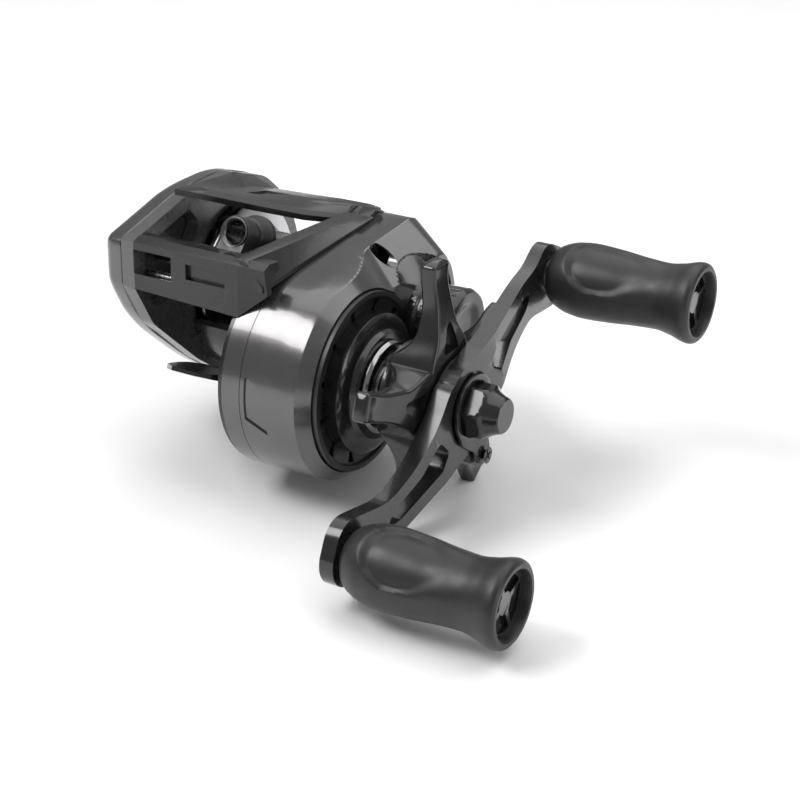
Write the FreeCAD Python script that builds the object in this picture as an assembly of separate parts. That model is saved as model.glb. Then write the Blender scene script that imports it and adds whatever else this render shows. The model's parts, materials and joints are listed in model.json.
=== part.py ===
import FreeCAD, Part
import os
from math import asin, atan2, cos, degrees, hypot, pi, radians, sin, tan

# Low-profile baitcasting reel, in millimetres.
# It is drawn with its foot level: X runs along the spool and handle axes towards the handle,
# -Y is where the line leaves, +Z is up, and the origin is on the drive shaft's axis.
# The finished reel is then pitched nose-up, the way it rests on a table.

os.makedirs("parts", exist_ok=True)

V = FreeCAD.Vector
X_AXIS = V(1, 0, 0)

# ---- driving dimensions: axes as (y, z) ----
REST_PITCH = 26.0
DRIVE = (0.0, 0.0)
SPOOL = (16.64, 15.22)
WORM = (-13.5, 16.9)
PILLAR = (-16.5, 11.2)
HANDLE_ANGLE = 45.8
STAR_PHASE = 43.5
STAR_ARMS = 5
KNOB_REACH = 42.0

# ---- driving dimensions: stations along X ----
PALM_FACE = -55.6
PALM_SEAM = -48.2
LEFT_WALL = (-48.0, -45.0)
RIGHT_WALL = (-20.8, -19.7)
PLATE_FLOOR = (-18.0, -17.0)
COVER_SEAM = -15.5
COVER_FACE = -3.5
LIP_X, LIP_R = -0.3, 18.8

# ---- driving dimensions: radii and walls ----
DRUM_R = 21.3
SHOULDER_R = 20.3
WALL = 0.85
SPOOL_R = 16.8
SPOOL_X = (-44.0, -21.2)
SHAFT_R = 1.5
RUNNING = 0.04
SEAM_POINT = (-17.3, 14.4)
SEAM_ANGLE = 30.1

# ---- fasteners: foot screws as (x, y), cover screws and yoke posts as (y, z) ----
FOOT_Z = -6.6
FOOT_TOP = FOOT_Z + 1.9
FOOT_SCREWS = [(-34.2, 9.5), (-27.8, 9.5), (-31.0, 21.5)]
COVER_SCREWS = [(5.6, 25.6), (31.5, 20.2), (23.5, -3.5)]
SCREW_PILLAR_R = 2.6
KEEPER_SCREW = (0, -12.4)
YOKE_POSTS = [(10.6, 22.6), (22.6, 22.6)]

# ---- line guide and trim ----
GUIDE_X = -27.0
EYE_Z = 23.0
RING_SLOTS = 12

# ---- gears ----
MODULE = 0.55
MAIN_TEETH = 72
PINION_TEETH = 10
WIND_MODULE = 0.5
COG_TEETH = 36
IDLER_TEETH = 22
WORM_TEETH = 14
ADDENDUM = 0.6
DEDENDUM = 0.85
BACKLASH = 0.12


def direction(a, b):
    """Angle in radians from axis a to axis b in the YZ plane."""
    return atan2(b[1] - a[1], b[0] - a[0])


def distance(a, b):
    return hypot(b[0] - a[0], b[1] - a[1])


def polar(centre, r, angle_deg):
    t = radians(angle_deg)
    return (centre[0] + r * cos(t), centre[1] + r * sin(t))


# ---------------------------------------------------------------- shape helpers
def rod(x0, x1, r, centre=DRIVE):
    return Part.makeCylinder(r, x1 - x0, V(x0, centre[0], centre[1]), X_AXIS)


def tube(x0, x1, r_out, r_in, centre=DRIVE):
    return rod(x0, x1, r_out, centre).cut(rod(x0 - 1, x1 + 1, r_in, centre))


def turned(profile, centre=DRIVE):
    """Solid of revolution from (x, r) points about an axis along X."""
    points = [V(x, centre[0] + r, centre[1]) for x, r in profile]
    face = Part.Face(Part.makePolygon(points + points[:1]))
    return face.revolve(V(0, centre[0], centre[1]), X_AXIS, 360)


def box(x0, x1, y0, y1, z0, z1):
    return Part.makeBox(x1 - x0, y1 - y0, z1 - z0, V(x0, y0, z0))


def rounded_face(points, radius=0.0, lift=V):
    """Closed outline in the YZ plane with every corner rounded; radius may be a list."""
    radii = radius if isinstance(radius, (list, tuple)) else [radius] * len(points)
    count = len(points)
    edges, joints = [], []
    for i, corner in enumerate(points):
        before, after = points[i - 1], points[(i + 1) % count]
        run_in, run_out = distance(before, corner), distance(corner, after)
        ux, uy = (before[0] - corner[0]) / run_in, (before[1] - corner[1]) / run_in
        wx, wy = (after[0] - corner[0]) / run_out, (after[1] - corner[1]) / run_out
        half = 0.5 * abs(degrees(atan2(ux * wy - uy * wx, ux * wx + uy * wy)))
        if radii[i] <= 0 or half > 89.0:
            joints.append((corner, None, corner))
            continue
        setback = min(radii[i] / tan(radians(half)), 0.46 * run_in, 0.46 * run_out)
        r = setback * tan(radians(half))
        bx, by = ux + wx, uy + wy
        scale = (r / sin(radians(half)) - r) / hypot(bx, by)
        start = (corner[0] + ux * setback, corner[1] + uy * setback)
        end = (corner[0] + wx * setback, corner[1] + wy * setback)
        joints.append((start, (corner[0] + bx * scale, corner[1] + by * scale), end))
    for i, (start, middle, end) in enumerate(joints):
        if middle:
            edges.append(Part.Arc(lift(0, *start), lift(0, *middle), lift(0, *end)).toShape())
        following = joints[(i + 1) % count][0]
        if distance(end, following) > 1e-6:
            edges.append(Part.LineSegment(lift(0, *end), lift(0, *following)).toShape())
    return Part.Face(Part.Wire(edges))


def prism(points, x0, x1, radius=0.0):
    face = rounded_face(points, radius)
    face.translate(V(x0, 0, 0))
    return face.extrude(V(x1 - x0, 0, 0))


def hull_face(c1, r1, c2, r2):
    """Outline of a belt round two circles in the YZ plane."""
    heading = degrees(direction(c1, c2))
    lean = degrees(asin((r1 - r2) / distance(c1, c2)))
    up, down = heading + 90 - lean, heading - 90 + lean
    a, b = polar(c1, r1, up), polar(c1, r1, down)
    c, d = polar(c2, r2, down), polar(c2, r2, up)
    far1, far2 = polar(c1, r1, heading + 180), polar(c2, r2, heading)
    edges = [
        Part.Arc(V(0, *a), V(0, *far1), V(0, *b)).toShape(),
        Part.LineSegment(V(0, *b), V(0, *c)).toShape(),
        Part.Arc(V(0, *c), V(0, *far2), V(0, *d)).toShape(),
        Part.LineSegment(V(0, *d), V(0, *a)).toShape(),
    ]
    return Part.Face(Part.Wire(edges))


def belt(x0, x1, r_drive, r_spool):
    face = hull_face(DRIVE, r_drive, SPOOL, r_spool)
    face.translate(V(x0, 0, 0))
    return face.extrude(V(x1 - x0, 0, 0))


def seam_side(offset, x0=-60, x1=10, reach=90):
    """Block above the sloping seam line, raised by offset along the line's normal."""
    block = box(x0, x1, -reach, reach, 0, reach)
    block.rotate(V(0, 0, 0), X_AXIS, SEAM_ANGLE)
    lift = polar(SEAM_POINT, offset, SEAM_ANGLE + 90)
    block.translate(V(0, *lift))
    return block


def fused(shapes):
    whole = shapes[0].multiFuse(shapes[1:]) if len(shapes) > 1 else shapes[0]
    return whole.removeSplitter()


def about_x(shape, angle_deg, centre=DRIVE):
    turned_shape = shape.copy()
    turned_shape.rotate(V(0, *centre), X_AXIS, angle_deg)
    return turned_shape


def group(shapes):
    return Part.makeCompound(shapes)


def screw(x_seat, x_tip, centre, head_r=1.7, shank_r=0.9, head_h=1.0):
    """Countersunk cross-head screw that points towards -X, its head's top at x_seat."""
    head = turned([(x_seat, 0), (x_seat, head_r), (x_seat - head_h, shank_r), (x_seat - head_h, 0)], centre)
    body = fused([head, rod(x_tip, x_seat - 0.5, shank_r, centre)])
    for turn in (0, 90):
        slot = box(x_seat - 0.6, x_seat + 1, -0.9 * head_r, 0.9 * head_r, -0.22, 0.22)
        slot.translate(V(0, *centre))
        body = body.cut(about_x(slot, turn, centre))
    return body


# ---------------------------------------------------------------- gears
def gear(teeth, module, x0, x1, centre, tooth_at, bore):
    """Spur gear with one tooth's centre at the angle tooth_at, in radians."""
    pitch_r = teeth * module / 2
    tip_r, root_r = pitch_r + ADDENDUM * module, pitch_r - DEDENDUM * module
    half_pitch = pi * module / 4 - BACKLASH / 2
    lean = tan(radians(20))
    half_tip = half_pitch - lean * ADDENDUM * module
    half_root = half_pitch + lean * DEDENDUM * module
    points = []
    for i in range(teeth):
        mid = tooth_at + 2 * pi * i / teeth
        for r, half in ((root_r, -half_root), (tip_r, -half_tip), (tip_r, half_tip), (root_r, half_root)):
            angle = mid + half / r
            points.append(V(x0, centre[0] + r * cos(angle), centre[1] + r * sin(angle)))
    face = Part.Face(Part.makePolygon(points + points[:1]))
    return face.extrude(V(x1 - x0, 0, 0)).cut(rod(x0 - 1, x1 + 1, bore, centre))


def meshing_tooth(centre_1, teeth_1, tooth_1, centre_2, teeth_2):
    """Tooth angle of gear 2 that puts it in mesh with gear 1."""
    line = direction(centre_1, centre_2)
    return line + pi + (2 * pi / teeth_2) * (0.5 - (tooth_1 - line) * teeth_1 / (2 * pi))


def idler_centre():
    """Idler axis that reaches both the cog and the worm gear, on the side away from the spool."""
    to_cog = (COG_TEETH + IDLER_TEETH) * WIND_MODULE / 2
    to_worm = (IDLER_TEETH + WORM_TEETH) * WIND_MODULE / 2
    span = distance(DRIVE, WORM)
    along = (to_cog ** 2 - to_worm ** 2 + span ** 2) / (2 * span)
    aside = (to_cog ** 2 - along ** 2) ** 0.5
    line = direction(DRIVE, WORM)
    return (along * cos(line) - aside * sin(line), along * sin(line) + aside * cos(line))


IDLER = idler_centre()
MAIN_TOOTH = direction(DRIVE, SPOOL)
COG_TOOTH = direction(DRIVE, IDLER)
IDLER_TOOTH = meshing_tooth(DRIVE, COG_TEETH, COG_TOOTH, IDLER, IDLER_TEETH)
WIND_X = (-19.4, -18.4)
MAIN_X = (-14.2, -11.2)
PINION_X = (-15.6, -8.8)


# ---------------------------------------------------------------- frame
PALM_OUTLINE = [(-24.4, 16.6), (-9.4, 29.1), (4.6, 36.2), (16.64, 37.7), (28.0, 34.7), (36.1, 26.5),
                (39.1, 15.2), (36.1, 3.9), (27.9, -4.3), (18.0, -6.4), (7.0, -4.4), (-11.4, 1.2), (-20.4, 7.7)]
PALM_ROUND = [1.5, 5, 8, 12, 12, 12, 12, 12, 12, 8, 6, 8, 2.5]


def shrunk(points, factor, centre=SPOOL):
    return [(centre[0] + (y - centre[0]) * factor, centre[1] + (z - centre[1]) * factor) for y, z in points]


def palm_wall(x0, x1, factor=1.0):
    return prism(shrunk(PALM_OUTLINE, factor), x0, x1, PALM_ROUND)


def side_band():
    """Sloping shoulder of the frame over the gear side's seam; it is tall over the worm's gear and thins upwards."""
    wires = []
    for along, height, foot in ((-4.2, 6.5, 1.2), (36.8, 0.9, 0.5)):
        section = [(0.0, RIGHT_WALL[0]), (height, RIGHT_WALL[0]), (height, -19.3), (height - 0.35, -17.9),
                   (foot, -14.6), (0.05, -14.6)]
        points = [V(x, along, n) for n, x in section]
        wires.append(Part.makePolygon(points + points[:1]))
    bar = Part.makeLoft(wires, True, True)
    bar.rotate(V(0, 0, 0), X_AXIS, SEAM_ANGLE)
    bar.translate(V(0, *SEAM_POINT))
    bar = bar.common(belt(-25, -10, 30.0, 20.9))
    return bar.cut(rod(RIGHT_WALL[1], PLATE_FLOOR[0], 4.15, WORM))


def nose_bar():
    """Front cross bar: a folded plate with a ledge on top; its gear end drops to a point and folds back."""
    stations = ((LEFT_WALL[0], 7.7, 0.0), (-19.5, 6.8, 0.0), (-14.2, 12.0, 1.6))
    wires = []
    for x, foot_z, back in stations:
        outline = [(-24.4 + back, 16.6), (-20.4 + back / 2, foot_z), (-18.2, foot_z + 0.6), (-21.4 + back, 15.4),
                   (-17.6, 17.9), (-18.6, 19.2), (-23.0 + back, 18.2)]
        corners = [V(x, y, z) for y, z in outline]
        wires.append(Part.makePolygon(corners + corners[:1]))
    bar = Part.makeLoft(wires, True, True)
    window = box(-45.0, -35.6, -30, -17, 10.6, 15.2)
    recess = prism([(-26, 14.6), (-22.6, 14.6), (-21.3, 11.7), (-26, 11.7)], -32.0, -22.5)
    drum = rod(-25, 0, DRUM_R + 0.05)
    cavity = rod(RIGHT_WALL[1], 0, DRUM_R - WALL)
    return bar.cut(window).cut(recess).cut(drum.common(box(RIGHT_WALL[1], 0, -40, 40, -40, 40))).cut(cavity)


def floor_plate():
    """Curved pan under the spool, open at the front."""
    pan = tube(LEFT_WALL[0] + 0.5, RIGHT_WALL[1], SPOOL_R + 2.2, SPOOL_R + 0.6, SPOOL)
    keep = prism([(2.0, -30), (46, -30), (46, 4.0), (16.64, 8.0), (2.0, 4.0)], -60, 0)
    return pan.common(keep)


def frame():
    left = palm_wall(*LEFT_WALL).cut(rod(-60, -40, SPOOL_R + 0.6, SPOOL))
    hollow = [(-19.5, 16.6), (-8.2, 26.0), (-3.4, 24.0), (-6.5, 8.0), (-12.0, 4.6), (-17.6, 9.0)]
    left = left.cut(prism(hollow, -60, -40, 1.5))
    right = belt(*RIGHT_WALL, DRUM_R - 0.4, SHOULDER_R - 0.4).cut(seam_side(0.3))
    right = right.cut(rod(-30, 0, 6.3, SPOOL)).cut(rod(-30, 0, 3.5, DRIVE))
    right = right.cut(box(-30, 0, 31.0, 60, 8.4, 17.4))
    band_wall = prism([(-23.6, 16.8), (-18.4, 9.0), (-9, 12), (17, 27), (20.6, 35.4), (15.0, 35.0), (12.6, 33.0),
                       (9.5, 31.2), (3.5, 28.6), (-8.0, 23.4), (-19.0, 18.8)], *RIGHT_WALL)
    spine = box(-37.5, -24.5, 6.0, 26.0, FOOT_TOP, -2.2)
    whole = fused([left, right, band_wall, side_band(), nose_bar(), floor_plate(), spine])
    for axis, r in ((WORM, 2.6), (PILLAR, 1.0)):
        whole = whole.cut(rod(-46.4, -20.0, r, axis))
    whole = whole.cut(rod(-21, -18, 2.0 + RUNNING, WORM))
    for spot in FOOT_SCREWS:
        whole = whole.cut(Part.makeCylinder(0.9, 3.2, V(*spot, FOOT_TOP - 0.1)))
    for spot in COVER_SCREWS:
        whole = whole.cut(rod(-25, 0, 0.9, spot))
    return whole


def hood():
    """Arched bar over the line opening; its front lip sweeps back towards the gear side."""
    stations = ((-40.0, (-11.6, 29.4), (14.0, 35.2)), (-32.0, (-4.6, 29.7), (16.0, 35.6)),
                (-25.0, (4.0, 30.3), (17.0, 36.0)), (-19.0, (12.4, 31.7), (19.0, 36.2)),
                (-15.4, (14.4, 33.4), (18.0, 35.8)))
    sections = [(LEFT_WALL[1], [(-14.2, 28.0), (-14.8, 29.2), (-9.0, 31.2), (4.4, 36.3), (12.0, 37.0), (12.0, 35.4),
                                (3.6, 34.2), (-9.6, 28.9)])]
    for x, (y0, z0), (y1, z1) in stations:
        crest = (y0 + 0.62 * (y1 - y0), z0 + 0.62 * (z1 - z0) + 0.7)
        sections.append((x, [(y0 + 0.4, z0 - 1.1), (y0, z0), (y0 + 1.2, z0 + 1.2), crest, (y1, z1), (y1, z1 - 1.6),
                             (crest[0] + 0.2, crest[1] - 1.8), (y0 + 1.9, z0 - 0.4)]))
    wires = []
    for x, points in sections:
        corners = [V(x, y, z) for y, z in points]
        wires.append(Part.makePolygon(corners + corners[:1]))
    bar = Part.makeLoft(wires, True, True)
    wires = []
    for x, front, back, floor in ((-36.5, -1.5, 5.5, 31.6), (-21.0, 14.6, 16.6, 34.2)):
        corners = [V(x, y, z) for y, z in ((front, 40), (front, floor), (back, floor + 1.8), (back, 40))]
        wires.append(Part.makePolygon(corners + corners[:1]))
    recess = Part.makeLoft(wires, True, True)
    bar = bar.cut(recess).cut(rod(LEFT_WALL[1], RIGHT_WALL[0], SPOOL_R + 0.4, SPOOL))
    return bar.cut(gear_case(RIGHT_WALL[1], -10, -0.1)).cut(frame())


def reel_foot():
    """Long rounded plate, thin at both ends and turned down a little at the back."""
    outline = [(-38.0, -10.0), (-36.6, -15.4), (-33.6, -18.0), (-28.4, -18.0), (-25.4, -15.4), (-24.0, -10.0),
               (-24.0, 31.0), (-26.0, 37.6), (-29.0, 40.6), (-33.0, 40.6), (-36.0, 37.6), (-38.0, 31.0)]
    plan = Part.Face(Part.makePolygon([V(x, y, -20) for x, y in outline + outline[:1]]))
    side = [(-18.2, FOOT_Z), (26.0, FOOT_Z), (40.8, FOOT_Z - 0.8), (40.8, FOOT_Z), (30.0, FOOT_TOP),
            (-6.0, FOOT_TOP), (-18.2, FOOT_Z + 0.8)]
    foot = prism(side, -38, -24, [0.3, 20, 0.3, 0.3, 12, 30, 0.3]).common(plan.extrude(V(0, 0, 30)))
    for spot in FOOT_SCREWS:
        foot = foot.cut(Part.makeCylinder(0.95, 8, V(*spot, FOOT_Z - 1)))
        foot = foot.cut(Part.makeCone(2.0, 0.95, 1.0, V(*spot, FOOT_Z)))
    return foot


def foot_screws():
    screws = []
    for x, y in FOOT_SCREWS:
        head = Part.makeCone(1.8, 0.85, 0.95, V(x, y, FOOT_Z + 0.05))
        body = fused([head, Part.makeCylinder(0.85, 4.2, V(x, y, FOOT_Z + 0.6))])
        slot = box(x - 1.3, x + 1.3, y - 0.25, y + 0.25, FOOT_Z - 1, FOOT_Z + 0.5)
        screws.append(body.cut(slot))
    return group(screws)


# ---------------------------------------------------------------- gear side
def gear_case(x0, x1, inset):
    """Belt-shaped body round the drive and spool axes, cut off along the sloping seam."""
    return belt(x0, x1, DRUM_R - inset, SHOULDER_R - inset).cut(seam_side(-inset))


def gear_side_plate():
    rim = gear_case(RIGHT_WALL[1], COVER_SEAM, 0).cut(gear_case(-30, 0, WALL))
    floor = gear_case(*PLATE_FLOOR, WALL / 2)
    plate = fused([rim, floor])
    plate = plate.cut(rod(-30, 0, 6.0, SPOOL)).cut(rod(-30, 0, 4.2, DRIVE))
    plate = plate.cut(rod(-30, PLATE_FLOOR[0], 5.0, WORM))
    plate = plate.cut(box(-30, PLATE_FLOOR[1] + 1, 21.0, 60, 8.4, 17.4))
    plate = fused([plate, rod(-19.6, PLATE_FLOOR[0], 1.1, IDLER)])
    for spot in COVER_SCREWS:
        plate = plate.fuse(rod(PLATE_FLOOR[0], COVER_SEAM, SCREW_PILLAR_R, spot).common(gear_case(-30, 0, 0)))
    for spot in COVER_SCREWS:
        plate = plate.cut(rod(-30, 0, 1.0, spot))
    return plate.removeSplitter()


def cover_skin(inset, depth):
    """Outside of the gear cover, or its cavity when inset by the wall."""
    face, seam = COVER_FACE - depth, COVER_SEAM
    drum = [(seam, 0), (seam, DRUM_R - inset), (face, DRUM_R - inset), (face, 0)]
    if not inset:
        drum[2:3] = [(-2.9, DRUM_R), (LIP_X, LIP_R + 0.2), (LIP_X, LIP_R), (face, LIP_R)]
    drum = turned(drum)
    waist = gear_case(seam, -8.0 - depth, inset)
    shoulder = turned([(seam, 0), (seam, SHOULDER_R - inset), (-8.0 - depth, SHOULDER_R - inset),
                       (-3.2 - depth, 17.0 - inset), (-1.0 - depth, 12.6 - inset), (-1.0 - depth, 0)], SPOOL)
    shoulder = shoulder.cut(rod(face, 5, DRUM_R))
    return fused([drum, waist, shoulder]).cut(seam_side(-inset))


def gear_side_cover():
    cavity = cover_skin(WALL, 1.5).cut(rod(COVER_FACE - 1.5, 5, 11.0, SPOOL))
    shell = cover_skin(0, 0).cut(cavity)
    shell = shell.cut(rod(COVER_SEAM, -10.2, DRUM_R - WALL))
    shell = shell.cut(rod(COVER_FACE, 5, 9.6, SPOOL))
    shell = shell.cut(rod(-30, 5, 8.35))
    neck = tube(-5.0, 8.0, 5.0, SHAFT_R + 0.6, SPOOL).fuse(tube(-5.0, 0.6, 6.2, 3.0, SPOOL))
    shell = fused([shell, neck]).cut(rod(4.4, 9, 4.0, SPOOL)).cut(rod(-8, -4.1, 3.9, SPOOL))
    shell = shell.cut(rod(-8, 9, SHAFT_R + 0.6, SPOOL))
    shell = fused([shell] + [rod(-12.0, -4.9, 0.8, post) for post in YOKE_POSTS])
    for spot in COVER_SCREWS:
        pillar = rod(COVER_SEAM, -3.0, SCREW_PILLAR_R, spot).common(cover_skin(0, 0))
        shell = shell.fuse(pillar)
    for spot in COVER_SCREWS:
        shell = shell.cut(rod(-20, 5, 1.0, spot)).cut(rod(-9.0, 5, 2.15, spot))
    panel = prism([(-19.0, -2.0), (-25.0, -2.0), (-25.0, -16.5), (-14.0, -16.5)], -13.6, -8.6, 0.8)
    panel = panel.cut(rod(-30, 0, DRUM_R - 0.3))
    return shell.cut(panel).removeSplitter()


def cover_screws():
    return group([screw(-7.9, -20.2, spot, 2.05) for spot in COVER_SCREWS])


def cover_ring():
    """Slotted ring on the cover's face, with bow-tie windows round it."""
    ring = turned([(COVER_FACE, 12.0), (COVER_FACE, 18.5), (0.75, 18.5), (0.75, 17.4), (0.0, 17.0), (-0.6, 14.6),
                   (-0.6, 12.0)])
    for i in range(RING_SLOTS):
        wide, narrow = 1.1, 0.45
        slot = prism([(13.0, -wide), (14.8, -narrow), (16.8, -wide), (16.8, wide), (14.8, narrow), (13.0, wide)],
                     -2.6, 2.0)
        ring = ring.cut(about_x(slot, 360.0 * i / RING_SLOTS + 8))
    return ring.cut(rod(-6, 5, 8.9, SPOOL))


def hub_boss():
    boss = turned([(COVER_FACE + 0.02, 8.2), (COVER_FACE + 0.02, 11.9), (-0.55, 11.9), (-0.55, 14.4), (2.6, 14.4),
                   (3.2, 13.6), (3.6, 11.4), (4.75, 10.9), (4.75, 8.2)])
    inner = tube(-5.0, 4.4, 8.3, 7.0)
    return fused([boss, inner]).cut(rod(-3.4, 6, 8.9, SPOOL))


def anti_reverse_bearing():
    race = tube(-4.4, 4.0, 7.0, 5.6)
    rollers = [rod(-4.0, 3.6, 0.68, polar(DRIVE, 4.0 + RUNNING + 0.72, 360 * i / 8)) for i in range(8)]
    cage = tube(-4.2, 3.8, 5.7, 4.0 + RUNNING + 0.6)
    return fused([race, cage] + rollers)


def seal_ring():
    return turned([(4.8, 5.2), (4.8, 9.4), (5.4, 9.6), (6.2, 9.2), (6.5, 8.0), (6.2, 5.2)])


def bearing(x0, x1, r_in, r_out, centre):
    """Ball bearing as one piece: two races, a shield groove on each side."""
    body = tube(x0, x1, r_out, r_in, centre)
    mid = (r_in + r_out) / 2
    for a, b in ((x0 - 1, x0 + 0.15), (x1 - 0.15, x1 + 1)):
        body = body.cut(tube(a, b, mid + 0.45, mid - 0.45, centre))
    return body


def tension_knob():
    profile = [(1.0, 5.0 + RUNNING), (1.0, 8.3), (2.6, 8.3), (3.2, 7.7), (10.4, 7.9), (11.4, 7.3), (11.4, 5.4),
               (10.5, 3.6), (10.4, 0), (9.5, 0), (9.5, 3.4), (8.6, 5.0 + RUNNING)]
    knob = turned(profile, SPOOL)
    for i in range(24):
        groove = rod(3.6, 10.0, 0.42, polar(SPOOL, 8.1, 15 * i))
        knob = knob.cut(groove)
    return knob


def tension_washer():
    return rod(8.7, 9.4, 3.2, SPOOL)


# ---------------------------------------------------------------- spool and its drive
def spool():
    x0, x1 = SPOOL_X
    profile = [(x0, 15.4), (x0, SPOOL_R - 0.3), (x0 + 0.3, SPOOL_R), (x0 + 1.0, SPOOL_R), (x0 + 1.3, SPOOL_R - 0.4),
               (x0 + 2.4, 12.6), (x0 + 5.0, 11.2), (x1 - 5.0, 11.2), (x1 - 2.4, 12.6), (x1 - 1.3, SPOOL_R - 0.4),
               (x1 - 1.0, SPOOL_R), (x1 - 0.3, SPOOL_R), (x1, SPOOL_R - 0.3), (x1, 15.4), (x1 - 1.6, 11.8),
               (x1 - 4.4, 10.2), (-31.0, 10.2), (-31.0, 4.2), (x1 - 3.0, 3.4), (x1 - 3.0, SHAFT_R),
               (x0 + 1.0, SHAFT_R), (x0 + 1.0, 3.4), (-33.0, 4.2), (-33.0, 10.2), (x0 + 4.4, 10.2), (x0 + 1.6, 11.8)]
    body = turned(profile, SPOOL)
    for i in range(12):
        body = body.cut(rod(-34, -30, 1.3, polar(SPOOL, 7.2, 30 * i)))
    for i in range(18):
        hole = Part.makeCylinder(0.9, 3, V(-37.0, SPOOL[0] + 9.5, SPOOL[1]), V(0, 1, 0))
        other = Part.makeCylinder(0.9, 3, V(-28.0, SPOOL[0] + 9.5, SPOOL[1]), V(0, 1, 0))
        body = body.cut(about_x(hole, 20 * i, SPOOL)).cut(about_x(other, 20 * i + 10, SPOOL))
    return body


def spool_shaft():
    shaft = rod(-53.2, 8.3, SHAFT_R - RUNNING, SPOOL)
    return fused([shaft.cut(rod(-43, -24, 3, SPOOL)), rod(-43.1, -23.9, SHAFT_R, SPOOL)])


def shaft_pin():
    pin = Part.makeCylinder(0.5, 5.6, V(-16.3, SPOOL[0], SPOOL[1] - 2.8), V(0, 0, 1))
    return pin.cut(rod(-18, -14, SHAFT_R - RUNNING, SPOOL))


def brake_rotor():
    """Thin cup on the spool's palm end that turns between the magnets."""
    return turned([(-48.4, 7.6), (-48.4, 8.1), (-43.4, 8.1), (-42.6, 4.4), (-42.6, 3.5), (-43.1, 3.5), (-43.8, 7.6)],
                  SPOOL)


def pinion():
    toothed = gear(PINION_TEETH, MODULE, *PINION_X, SPOOL,
                   meshing_tooth(DRIVE, MAIN_TEETH, MAIN_TOOTH, SPOOL, PINION_TEETH), 0.8)
    head = rod(-16.9, PINION_X[0], 3.4, SPOOL)
    tail = fused([rod(-8.8, -7.2, 2.4, SPOOL), rod(-7.2, -6.0, 3.6, SPOOL)])
    whole = fused([toothed, head, tail]).cut(rod(-20, -4, SHAFT_R + RUNNING, SPOOL))
    slot = box(-17.0, -15.7, SPOOL[0] - 0.6, SPOOL[0] + 0.6, SPOOL[1] - 4, SPOOL[1] + 4)
    return whole.cut(slot)


def yoke():
    """Fork in the pinion's groove, on two guide holes."""
    plate = prism([(8.6, 20.6), (8.6, 24.6), (24.6, 24.6), (24.6, 20.6), (21.0, 18.6), (21.0, 12.4), (12.3, 12.4),
                   (12.3, 18.6)], -8.5, -7.5, 0.9)
    plate = plate.cut(rod(-9, -7, 2.4 + RUNNING + 0.06, SPOOL))
    gap = box(-9, -7, SPOOL[0] - 2.5, SPOOL[0] + 2.5, SPOOL[1] - 6, SPOOL[1])
    plate = plate.cut(gap)
    for post in YOKE_POSTS:
        plate = plate.cut(rod(-9, -7, 0.8 + RUNNING, post))
    return plate


def thumb_bar():
    """Bar across the back of the spool, pressed down to free it."""
    bar = prism([(35.0, 12.8), (38.4, 13.4), (39.4, 15.2), (38.6, 18.4), (36.6, 20.2), (35.0, 19.6)], -44.4, -21.4,
                0.8)
    tab = box(-22.0, -16.0, 34.8, 36.6, 13.0, 17.0)
    return fused([bar, tab])


def clutch_cam():
    """Sliding plate inside the gear side that the thumb bar carries."""
    plate = prism([(21.6, 13.0), (34.8, 13.0), (34.8, 17.0), (26.4, 17.0), (24.4, 19.4), (21.6, 19.4)],
                  -16.8, -15.9, 0.6)
    ramp = prism([(22.0, 13.4), (24.2, 13.4), (24.2, 18.6), (22.0, 18.6)], -15.9, -14.9, 0.3)
    return fused([plate, ramp])


# ---------------------------------------------------------------- level wind
def worm_shaft():
    """Cross-cut screw that carries the line guide to and fro."""
    shaft = rod(-46.2, -18.1, 2.0, WORM)
    for i in range(9):
        middle = V(-42.0 + 2.1 * i, *WORM)
        for lean in (24, -24):
            ring = rod(middle.x - 0.3, middle.x + 0.3, 4.0, WORM)
            ring.rotate(middle, V(0, 0, 1), lean)
            shaft = shaft.cut(ring.cut(rod(-50, -10, 1.6, WORM)))
    return shaft.cut(tube(-50, -45.0, 2.6, 1.16, WORM)).cut(tube(-19.6, -17, 2.6, 1.5, WORM))


def worm_gear():
    tooth = meshing_tooth(IDLER, IDLER_TEETH, IDLER_TOOTH, WORM, WORM_TEETH)
    return gear(WORM_TEETH, WIND_MODULE, *WIND_X, WORM, tooth, 1.5)


def idler_gear():
    return gear(IDLER_TEETH, WIND_MODULE, *WIND_X, IDLER, IDLER_TOOTH, 1.1 + RUNNING)


def level_wind_cog():
    cog = gear(COG_TEETH, WIND_MODULE, *WIND_X, DRIVE, COG_TOOTH, 2.2)
    for i in range(6):
        cog = cog.cut(rod(-21, -17, 1.6, polar(DRIVE, 5.6, 60 * i)))
    return cog


def worm_tube():
    """Slotted sleeve round the worm; the slot faces down for the pawl."""
    sleeve = tube(-46.3, RIGHT_WALL[0] + 0.05, 2.6, 2.15, WORM)
    return sleeve.cut(box(-43.0, -22.8, WORM[0] - 0.95, WORM[0] + 0.95, WORM[1] - 4, WORM[1] - 1))


def guide_pillar():
    return rod(-46.3, RIGHT_WALL[0] + 0.3, 1.0, PILLAR)


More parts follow.
